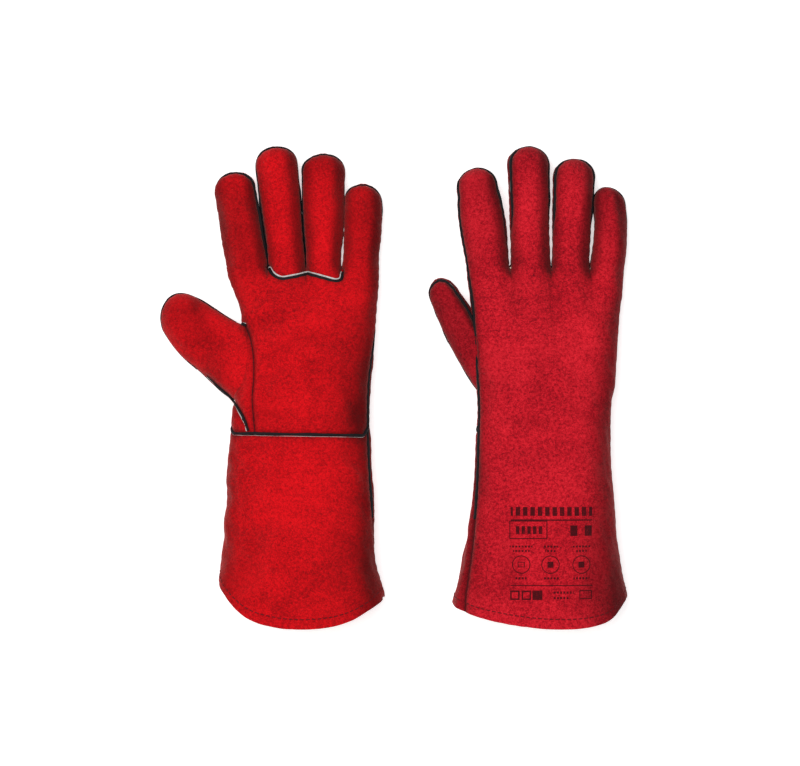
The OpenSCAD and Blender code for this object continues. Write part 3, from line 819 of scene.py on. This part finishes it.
def cloth(name, bright, dark, size, rough=0.9, bump_mm=0.3, sheen=0.0):
    """Cloth, fleece, thread or edge, with features of about size millimetres."""
    n = Nodes(name)
    where = n.attribute("rest", vector=True)
    coarse = n.ramp(n.noise(where, size * 4, 3, 0.6), 0.3, 0.7)
    fine = n.ramp(n.noise(where, size, 3, 0.7), 0.3, 0.7)
    value = n.total((coarse, 0.5), (fine, 0.5))
    return n.surface(value, 0.7, bump_mm * MM, {
        "Base Color": n.mix(value, dark, bright), "Roughness": rough, "Specular IOR Level": 0.25,
        "Sheen Weight": sheen,
    })


# A generic print of plain bars, stripes, rings and empty frames.
PRINT = (
    (116, -89.8, 29.5, 3.2, 0, 5.3), (116, -96, 29.5, 0.5, 0, 0),
    (99.2, -103, 13.7, 6.6, 0.7, 0), (99.5, -103.2, 10.5, 2.8, 0, 4.1),
    (132, -103.6, 2.6, 3.8, 0, 0), (142.6, -103.6, 2.6, 3.8, 0, 0),
    (94, -115, 8.2, 0.7, 0, 2.3), (94, -118.2, 6.0, 0.7, 0, 2.3), (115, -115, 5.6, 0.7, 0, 2.3),
    (115, -118.2, 3.8, 0.7, 0, 2.3), (137.5, -115, 7.6, 0.7, 0, 2.3), (137.5, -118.2, 3.8, 0.7, 0, 2.3),
    (94, -128, 6.6, 0, 0.7, 0), (115, -128, 6.6, 0, 0.7, 0), (137.4, -128, 6.6, 0, 0.7, 0),
    (94, -128, 2.6, 2.0, 0.6, 0), (115, -128, 2.2, 2.2, 0, 0), (137.4, -128, 2.2, 2.2, 0, 0),
    (94.4, -137.8, 4.4, 0.8, 0, 2.3), (115.5, -137.8, 6.0, 0.8, 0, 2.3), (137.4, -137.8, 5.8, 0.8, 0, 2.3),
    (116, -143, 29.5, 0.35, 0, 0),
    (89.4, -150, 3.4, 3.4, 1.1, 0), (97.6, -150, 3.4, 3.4, 1.1, 0), (105.6, -150, 3.6, 3.4, 0, 0),
    (124.4, -148, 7.2, 0.8, 0, 2.3), (122.8, -152, 5.6, 0.8, 0, 2.3), (140.4, -149.6, 4.6, 3.2, 0.7, 0),
)

left_leather = suede("left_leather", linear(236, 16, 26), linear(200, 8, 18), linear(132, 4, 12), 1.0)
RIGHT_REDS = (linear(226, 36, 50), linear(186, 16, 32), linear(112, 5, 20))
right_leather = suede("right_leather", *RIGHT_REDS, 1.15)
right_printed = suede("right_leather_printed", *RIGHT_REDS, 1.15, PRINT)
black_welt = cloth("black_welt", linear(26, 22, 26), linear(6, 5, 8), 0.9, 0.8, 0.2)
white_edge = cloth("white_edge", linear(232, 228, 224), linear(150, 146, 146), 0.8, 0.9, 0.2)
fleece = cloth("fleece_lining", linear(236, 226, 206), linear(186, 172, 146), 1.6, 0.95, 0.9, 0.3)
cotton = cloth("cotton_lining", linear(228, 220, 204), linear(188, 178, 158), 0.7, 0.9, 0.3)
# Dark thread in the plain seams, darker than the hem thread: its colour also paints the shade in the seam's
# groove.
seam_line = cloth("seam_line", linear(84, 10, 18), linear(44, 5, 10), 0.5, 0.9, 0.1)
thread = cloth("seam_thread", linear(120, 14, 22), linear(62, 6, 12), 0.5, 0.8, 0.1)
LEATHER = (left_leather, right_leather)
LEATHER_SLOT = ("left_leather", "right_leather")

# ---- The two gloves ----

# Where the welts of the cuff's sides end: below, its sides are plain seams.
WELT_END = -96.0
# Whether a finger's left and right seams are sunk low down.
SUNK = (
    ((False, False), (False, False), (False, True), (True, True)),
    ((False, True), (True, True), (True, True), (True, False)),
)
# Lines on the palm side of the left glove. First the thumb's lower welt.
GUSSET = ((-134, 8), (-126.7, 1.4), (-117, -7.4), (-110.2, -16.6), (-106, -24.4), (-103.3, -31.6))
# The square of the width to which its welt tapers at the thumb, and a short welt in the thumb's crook.
GUSSET_END = 0.04
WEB = ((-112.6, 48.4), (-109, 46.6), (-105, 45.2))
# The plain seam that sets the thumb in.
THUMB_LINE = ((-106, 44), (-102.4, 36), (-100, 24), (-99.4, 8), (-100.6, -9.5), (-99.8, -20), (-98.6, -32))

# The floor, in metres: half its side, and its height.
FLOOR_HALF = 2.5
FLOOR_Z = -0.0004
floor_material = bpy.data.materials.new("floor")
floor_material.use_nodes = True
for socket, value in (("Base Color", (0.93, 0.93, 0.93, 1)), ("Roughness", 0.9),
                      ("Emission Color", (1, 1, 1, 1)), ("Emission Strength", 0.5)):
    floor_material.node_tree.nodes["Principled BSDF"].inputs[socket].default_value = value
floor_mesh = bpy.data.meshes.new("floor")
floor_mesh.from_pydata(
    [(x * FLOOR_HALF, y * FLOOR_HALF, FLOOR_Z) for x, y in ((-1, -1), (1, -1), (1, 1), (-1, 1))],
    [], [(0, 1, 2, 3)],
)
floor_mesh.materials.append(floor_material)
floor = bpy.data.objects.new("floor", floor_mesh)
bpy.context.scene.collection.objects.link(floor)


def bend(o, part):
    """Bakes a piece's transform into its mesh; the part makes no difference."""
    if part in FINGERS:
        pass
    elif part == "thumb":
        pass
    else:
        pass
    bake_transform(o)


def place(o, side, part, slot, cad=None):
    """Bakes a piece's transform and hides the CAD node that it stands for, if one is given. Side and slot are
    not used.
    """
    bend(o, part)
    if cad:
        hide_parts(cad)


# The least flat length that a panel is measured at. The least flat size that can be declared. The right
# insert's own length is 9.9, just below it.
LEAST_FLAT = 10.0


def line_length(points):
    return float(np.linalg.norm(np.diff(points, axis=0), axis=1).sum())


def declare(grid):
    """Measures a cut panel's length along its surface, at least LEAST_FLAT; the result is not used."""
    rows, cols = grid.shape[:2]
    length = max(line_length(grid[:, c]) for c in range(0, cols, max(1, cols // 8)))
    length = max(length, LEAST_FLAT)


# A stretch of seam with no more points than this is left out.
SHORTEST_RUN = 3


def side_runs(patch, points, normals, column, rows=None, hidden=None):
    """The line of a side seam, with the direction that its bead stands out in, cut where it is hidden."""
    ids = patch.ids[:, column] if rows is None else patch.ids[rows, column]
    p, n = points[ids], normals[ids]
    if hidden is None:
        return [(p, n)]
    show = ~hidden(p)
    runs, start = [], None
    for i, shown in enumerate([*show, False]):
        if shown and start is None:
            start = i
        if not shown and start is not None:
            if i - start > SHORTEST_RUN:
                runs.append((p[start:i], n[start:i]))
            start = None
    return runs


def wander(count, low, high, seed, wavelength=9.0):
    """Widths that come and go along a line."""
    i = np.arange(count, dtype=float)[:, None]
    value = lumps(np.concatenate([i, 0 * i, 0 * i], axis=1), wavelength, seed, 8)
    return np.clip(mix(low, high, 0.5 + 0.5 * value), low, high)


# A bead and its pale edge: sideways and outward shift, half width and half height, and how wide they wander.
BEAD = (0.1, 0.4, 1.0, 1.4)
BEAD_WIDE = (0.85, 1.2)
EDGE = (-1.25, 0.2, 0.42, 0.8)
EDGE_WIDE = (0.2, 1.0)
# The same along the insert, where the edge is a rounder cord, and along the wrist, which stands out further.
INSERT_BEAD = (0.9, 0.1, 1.15, 0.9)
INSERT_EDGE = (-0.9, 0.35, 0.62, 0.9)
INSERT_WIDE = (0.8, 1.1)
WRIST_WIDE = (0.25, 0.5)
WRIST_OUT = 0.4
# Between two fingers a bead is sunk to this width below the first height, and whole above the second.
SUNK_WIDTH = 0.3
SUNK_Y = (112, 134)
# The right side seam of the left hand gets this narrow between two heights.
NARROW = 0.35
NARROW_Y = (42, 52)
# The hem's stitches: distance from the edge, point spacing, and in points each one's length and pitch.
HEM_IN = 6.0
STITCH_STEP = 0.7
STITCH = (5, 6)


def welt(side, what, runs, part, seed, white=EDGE_WIDE):
    """A black bead in the seam and the pale cut edge beside it. A run may end with its own widths."""
    beads, edges = [], []
    for k, (p, n, *own) in enumerate(runs):
        width = own[0] if own else 1.0
        beads.append((p, n, BEAD[0], BEAD[1] * width, width * wander(len(p), *BEAD_WIDE, seed + k)))
        edges.append((p, n, EDGE[0], EDGE[1] * width, width * wander(len(p), *white, seed + 50 + k)))
    bead = sweep(f"{side}_{what}_welt_bead", beads, black_welt, *BEAD[2:], flat=True)
    edge = sweep(f"{side}_{what}_cut_edge_bead", edges, white_edge, *EDGE[2:])
    place(bead, side, part, "black_welt", f"{side}_{what}_welt")
    place(edge, side, part, "cotton_lining")


# Threads: outward shift, half width and half height, in the cuff's sides, the hem and the thumb's seam.
CUFF_THREAD = (0.05, 0.4, 0.35)
HEM_THREAD = (0.08, 0.38, 0.34)
THUMB_THREAD = (0.05, 0.34, 0.3)


def thread_line(side, name, lines, material, shape):
    """A thin thread along lines, each given as points and outward directions."""
    o = sweep(f"{side}_{name}", [(p, n, 0.0, shape[0]) for p, n in lines], material, *shape[1:], sides=6)
    place(o, side, "wrist", LEATHER_SLOT[SIDES.index(side)])


def all_quads(some):
    return np.concatenate([p.quads() for p in some])


def all_ids(some):
    return np.concatenate([p.ids for p in some], axis=1)


def backwards(runs):
    return [(p[::-1], n[::-1]) for p, n in runs]


def drape(tree, xy):
    """A line laid on the upper surface, with the direction it stands out in."""
    hits = [tree.ray_cast(Vector((x, y, 200)), Vector((0, 0, -1))) for x, y in curve(xy)]
    hits = [hit for hit in hits if hit[0] is not None]
    return np.array([hit[0] for hit in hits]), np.array([hit[1] for hit in hits])


for g, side in enumerate(SIDES):
    palm, back = PALM[g], -PALM[g]
    patches = {}
    for up in (UPPER, LOWER):
        for f in range(4):
            # Fingers run towards the hand, and hand and cuff run towards the hem.
            patches["finger", f, up] = Patch(finger_patch(g, f, up)[::-1], up)
        patches["hand", up] = Patch(hand_patch(g, up), up)
        patches["cuff", up] = Patch(cuff_patch(g, up), up)
    body = list(patches.values())
    points = merge_points(body)
    thumbs = {up: Patch(thumb_patch(g, up)[::-1], up) for up in (UPPER, LOWER)}
    thumb_points = merge_points(list(thumbs.values()))

    def upper_tree():
        """The upper faces of hand and thumb together, to lay lines on."""
        every = np.concatenate([points, thumb_points])
        upper = all_quads([p for p in body if p.up > 0])
        faces = np.concatenate([upper, thumbs[UPPER].quads() + len(points)])
        return BVHTree.FromPolygons(every.tolist(), faces.tolist())

    rest_normals = normals_of(points, all_quads(body))
    thumb_normals = normals_of(thumb_points, all_quads(thumbs.values()))

    # Seams that the leather is pulled into.
    hand = [patches["hand", up] for up in (palm, back)]
    insert_ids = hand[0].ids[INSERT_ROWS, COLS:3 * COLS + 1]
    seams = [points[p.ids[:, c]] for p in body if p.up > 0 for c in (0, -1)]
    seams += [points[insert_ids], points[hand[0].ids[-1]]]
    thumb_seams = [thumb_points[thumbs[UPPER].ids[:, c]] for c in (0, -1)]
    if g == 0:
        tree = upper_tree()
        laid = [drape(tree, GUSSET)[0], drape(tree, THUMB_LINE)[0]]
        seams += laid
        thumb_seams += laid

    # The valleys below the knuckles are narrow, so there the leather moves out along an averaged direction.
    push = rest_normals.copy()
    for up in (UPPER, LOWER):
        ids = patches["hand", up].ids
        around_it = np.pad(rest_normals[ids], ((0, 0), (PUSH_COLS, PUSH_COLS), (0, 0)), "edge")
        count = 2 * PUSH_COLS + 1
        mean = sum(around_it[:, k:k + ids.shape[1]] for k in range(count)) / count
        inner = (slice(INSERT_ROWS + 1, -1), slice(PUSH_COLS, -PUSH_COLS))
        push[ids[inner]] = mean[inner]
    offset, shade = relief(g, points, seams)
    points = points + push * offset[:, None]
    points[:, 2] = np.maximum(points[:, 2], 0)
    normals = normals_of(points, all_quads(body))
    offset, thumb_shade = relief(g, thumb_points, thumb_seams)
    thumb_points = thumb_points + thumb_normals * offset[:, None]
    thumb_points[:, 2] = np.maximum(thumb_points[:, 2], THUMB_LOW)
    thumb_normals = normals_of(thumb_points, all_quads(thumbs.values()))
    # Painted shade: in the valley round the thumb, on the slopes and in patches, added to that at the seams
    # and creases.
    meet_shade = MEET_SHADE[g] * (in_thumb(g, points, -MEET_WIDE) & ~in_thumb(g, points, 0))
    shade = np.clip(np.maximum(shade, meet_shade) + painted_shade(SHADE_SPOTS[g], points, rest_normals), 0, DARKEST)
    thumb_shade = thumb_shade + painted_shade(THUMB_SHADE_SPOTS[g], thumb_points, thumb_normals, THUMB_SLOPES)
    thumb_shade = np.clip(thumb_shade, 0, DARKEST)
    tree = upper_tree()

    # What lies inside the thumb or the hand is cut away, but for a lip that stays hidden.
    for some, p, is_in in ((body, points, in_thumb), (thumbs.values(), thumb_points, in_hand)):
        for patch in some:
            inside = is_in(g, p[patch.ids.ravel()], LIP).reshape(patch.ids.shape)
            patch.keep = ~(inside[:-1, :-1] & inside[1:, :-1] & inside[1:, 1:] & inside[:-1, 1:])

    skin, thumb_skin = (points, normals, shade), (thumb_points, thumb_normals, thumb_shade)
    layers = {
        "leather": (LEATHER[g], LEATHER_SLOT[g], 0.0, LEATHER_T),
        "fleece": (fleece, "fleece_lining", LINING_IN, LINING_T),
        "cotton": (cotton, "cotton_lining", LINING_IN, LINING_T),
    }

    def panel(name, kind, surface, quads, part, ids, print_it=False):
        """One cut piece, in the place of its CAD node, with its length measured."""
        material, slot, inset, thick = layers[kind]
        p, n, dark = surface
        is_leather = kind == "leather"
        o, area = make_sheet(f"{side}_{name}_{kind}", p, n, quads, right_printed if print_it else material,
                             inset, thick, shade=dark if is_leather else None)
        place(o, side, part, slot, f"{side}_{name}" if is_leather else f"{side}_{name}_lining")
        declare(p[ids])

    for f, finger in enumerate(FINGERS):
        pair = [patches["finger", f, up] for up in (palm, back)]
        for face, patch in zip(FACES, pair):
            panel(f"{finger}_{face}", "leather", skin, patch.quads(), finger, patch.ids)
        panel(finger, "fleece", skin, all_quads(pair), finger, all_ids(pair))
        patch = patches["finger", f, UPPER]
        left, right = patch.ids[::-1, 0], patch.ids[:, -1]
        loop = np.concatenate([left, right])
        # Low down between two fingers the bead sinks into the seam.
        between = np.concatenate([np.full(len(left), SUNK[g][f][0]), np.full(len(right), SUNK[g][f][1])])
        width = mix(SUNK_WIDTH, 1, np.maximum(step(points[loop, 1], *SUNK_Y), ~between))
        welt(side, finger, [(points[loop], normals[loop], width)], finger, 100 * g + 10 * f)

    # Palm, with the insert under the middle and ring fingers, and back.
    row, column = np.indices(hand[0].keep.shape)
    is_insert = (row < INSERT_ROWS) & (column >= COLS) & (column < 3 * COLS)
    for name, patch, keep, ids in (
        ("palm_panel", hand[0], ~is_insert, hand[0].ids),
        ("finger_insert", hand[0], is_insert, hand[0].ids[:INSERT_ROWS + 1, COLS:3 * COLS + 1]),
        ("back_panel", hand[1], None, hand[1].ids),
    ):
        panel(name, "leather", skin, patch.quads(keep), "wrist", ids)
    panel("hand", "fleece", skin, all_quads(hand), "wrist", all_ids(hand))

    # Cuff. Its lining ends one row short of the hem.
    cuff = [patches["cuff", up] for up in (palm, back)]
    for face, patch in zip(FACES, cuff):
        panel(f"cuff_{face}", "leather", skin, patch.quads(), "wrist", patch.ids,
              print_it=g == 1 and face == "back")
    short = np.ones(cuff[0].keep.shape, bool)
    short[-1:] = False
    quads = np.concatenate([patch.quads(short) for patch in cuff])
    panel("cuff", "cotton", skin, quads, "wrist", all_ids(cuff))

    # Thumb: a base, and the part beyond its bend.
    base, axis, _ = thumb_frame(g)
    pair = [thumbs[up] for up in (palm, back)]
    for face, patch in zip(FACES, pair):
        s = (thumb_points[patch.ids][:, :, :2] - base) @ axis
        split = int(np.argmin(np.abs(s[:, COLS // 2] - THUMB_SPLIT)))
        tip = np.zeros(patch.keep.shape, bool)
        tip[:split] = True
        ids = patch.ids[:split + 1]
        panel(f"thumb_{face}", "leather", thumb_skin, patch.quads(tip), "thumb", ids)
    for name, kind, part, keep, rows in (
        ("thumb_base", "leather", "wrist", ~tip, slice(split, None)),
        ("thumb", "fleece", "thumb", tip, slice(split + 1)),
    ):
        quads = np.concatenate([patch.quads(keep) for patch in pair])
        panel(name, kind, thumb_skin, quads, part, all_ids(pair)[rows])
    patch = thumbs[UPPER]
    loop = np.concatenate([patch.ids[split::-1, 0], patch.ids[:split + 1, -1]])
    welt(side, "thumb", [(thumb_points[loop], thumb_normals[loop])], "thumb", 300 + g)

    # The hand's side seams, the thumb's own seam below its bend, and the insert's seam.
    upper = patches["hand", UPPER]
    hidden = (lambda p: in_thumb(g, p, HIDDEN_IN_THUMB)) if g == 0 else None
    runs = backwards(side_runs(upper, points, normals, 0, hidden=hidden))
    for p, n in side_runs(upper, points, normals, -1):
        runs.append((p, n, mix(1, NARROW, step(p[:, 1], *NARROW_Y))) if g == 0 else (p, n))
    low_left, low_right = (
        side_runs(patch, thumb_points, thumb_normals, column, slice(split, None),
                  lambda p: in_hand(g, p, HIDDEN_IN_HAND))
        for column in (0, -1)
    )
    runs += backwards(low_left) + low_right
    if g == 0:
        p, n = drape(tree, GUSSET)
        runs.append((p[::-1], n[::-1], np.sqrt(np.linspace(1.0, GUSSET_END, len(p)))))
        runs.append(drape(tree, WEB))
    welt(side, "hand", runs, "wrist", 400 + g)
    p = resample(points[insert_ids], 0.8)
    n = spread(normals[insert_ids], len(p))
    run = (p, n, *INSERT_BEAD[:2])
    bar = sweep(f"{side}_insert_welt_bead", [run], black_welt, *INSERT_BEAD[2:], flat=True)
    run = (p, n, *INSERT_EDGE[:2], wander(len(p), *INSERT_WIDE, 70))
    cord = sweep(f"{side}_insert_cut_edge", [run], white_edge, *INSERT_EDGE[2:])
    place(bar, side, "wrist", "black_welt")
    place(cord, side, "wrist", "cotton_lining")

    # The cuff's side seams, which turn plain further down, and the wrist seam on the palm side.
    upper = patches["cuff", UPPER]
    sides = backwards(side_runs(upper, points, normals, 0)) + side_runs(upper, points, normals, -1)
    runs = [(p[p[:, 1] > WELT_END], n[p[:, 1] > WELT_END]) for p, n in sides]
    plain = [(p[p[:, 1] < WELT_END], n[p[:, 1] < WELT_END]) for p, n in sides]
    thread_line(side, "cuff_seam_thread", plain, seam_line, CUFF_THREAD)
    ids = cuff[0].ids[0, -2:0:-1]
    runs.append((points[ids] + WRIST_OUT * normals[ids], normals[ids]))
    welt(side, "cuff", runs, "wrist", 500 + g, WRIST_WIDE)

    # Thread: the stitches along the hem, and the plain seam on the palm.
    stitches = []
    for up in (UPPER, LOWER):
        ids = patches["cuff", up].ids
        away = np.linalg.norm(np.diff(points[ids][::-1], axis=0), axis=2).cumsum(axis=0)
        rows = ids.shape[0] - 2 - (away < HEM_IN).sum(axis=0)
        ids = ids[rows, np.arange(ids.shape[1])][2:-2]
        line = resample(points[ids], STITCH_STEP)
        out = spread(normals[ids], len(line))
        for i in range(0, len(line) - STITCH[1], STITCH[1]):
            stitches.append((line[i:i + STITCH[0]], out[i:i + STITCH[0]]))
    thread_line(side, "hem_stitches", stitches, thread, HEM_THREAD)
    if g == 0:
        thread_line(side, "thumb_seam_thread", [drape(tree, THUMB_LINE)], seam_line, THUMB_THREAD)

# ---- Light and camera ----

scene = bpy.context.scene
scene.view_settings.view_transform = "Standard"
scene.view_settings.look = "None"
world = bpy.data.worlds.new("studio")
world.use_nodes = True
world.node_tree.nodes["Background"].inputs["Color"].default_value = (1, 1, 1, 1)
world.node_tree.nodes["Background"].inputs["Strength"].default_value = 0.30
scene.world = world


def area_light(name, place, target, size, power):
    light = bpy.data.lights.new(name, "AREA")
    light.shape = "RECTANGLE"
    light.size, light.size_y, light.energy = size, size, power
    o = bpy.data.objects.new(name, light)
    o.location = place
    o.rotation_euler = (Vector(target) - Vector(place)).to_track_quat("-Z", "Y").to_euler()
    scene.collection.objects.link(o)


area_light("key", (-0.5, 0.45, 1.7), (0, 0, 0), 1.3, 17)
area_light("top", (0.0, 0.0, 2.0), (0, 0, 0), 1.6, 17)

# The camera looks straight down on the pair from far above. FIELD_W is the width it sees at height PLANE_Z.
FIELD_W = 0.5833
DISTANCE = 3.0
PLANE_Z = 0.015
CENTRE = (0.0066, 0.0029)
camera_data = bpy.data.cameras.new("camera")
camera_data.lens = camera_data.sensor_width * DISTANCE / FIELD_W
camera = bpy.data.objects.new("camera", camera_data)
camera.location = (*CENTRE, PLANE_Z + DISTANCE)
scene.collection.objects.link(camera)
scene.camera = camera
